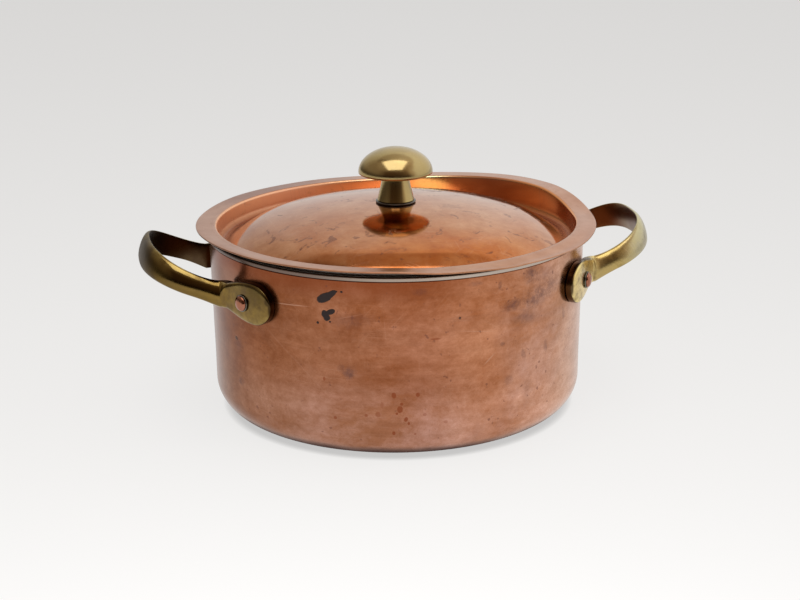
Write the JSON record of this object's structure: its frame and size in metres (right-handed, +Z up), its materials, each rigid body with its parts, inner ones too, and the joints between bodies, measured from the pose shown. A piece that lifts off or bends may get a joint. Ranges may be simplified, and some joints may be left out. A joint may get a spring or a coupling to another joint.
{
  "type": "lidded copper pot",
  "caption": "Round straight-sided copper pot with a silver-coloured lining, a lift-off domed lid with a brass knob, and riveted brass loop handles.",
  "frame": {"origin": "centre of the flat base, on the surface that the pot stands on", "axes": "+Z up along the pot's axis, the handles lie along +X and -X, and -Y is the front"},
  "size_m": [0.2746, 0.2132, 0.1388],
  "materials": {
    "pot_copper": "worn polished copper with brown patina",
    "lid_copper": "bright polished copper, satin on the flange",
    "lining": "satin silver-coloured lining",
    "brass": "olive-gold cast brass with dark tarnish",
    "knob_brass": "turned and polished brass",
    "rivet_copper": "polished copper",
    "burr_steel": "dull grey metal",
    "collar": "dark tarnished brass",
    "screw_steel": "turned steel"
  },
  "bodies": {
    "pot": {"pot_body": "pot_copper", "pot_lining": "lining", "handle_right": "brass", "handle_right_rivet_front": "rivet_copper", "handle_right_washer_front": "burr_steel", "handle_right_rivet_back": "rivet_copper", "handle_right_washer_back": "burr_steel", "handle_left": "brass", "handle_left_rivet_front": "rivet_copper", "handle_left_washer_front": "burr_steel", "handle_left_rivet_back": "rivet_copper", "handle_left_washer_back": "burr_steel"},
    "lid": {"lid_shell": "lid_copper", "lid_lining": "lining", "lid_knob": "knob_brass", "knob_collar": "collar", "knob_screw": "screw_steel", "knob_screw_washer": "screw_steel"}
  },
  "joints": [
    {"name": "lid_lift", "type": "slide", "parent": "pot", "child": "lid", "axis": [0, 0, 1], "range_m": [0, 0.12]}
  ]
}
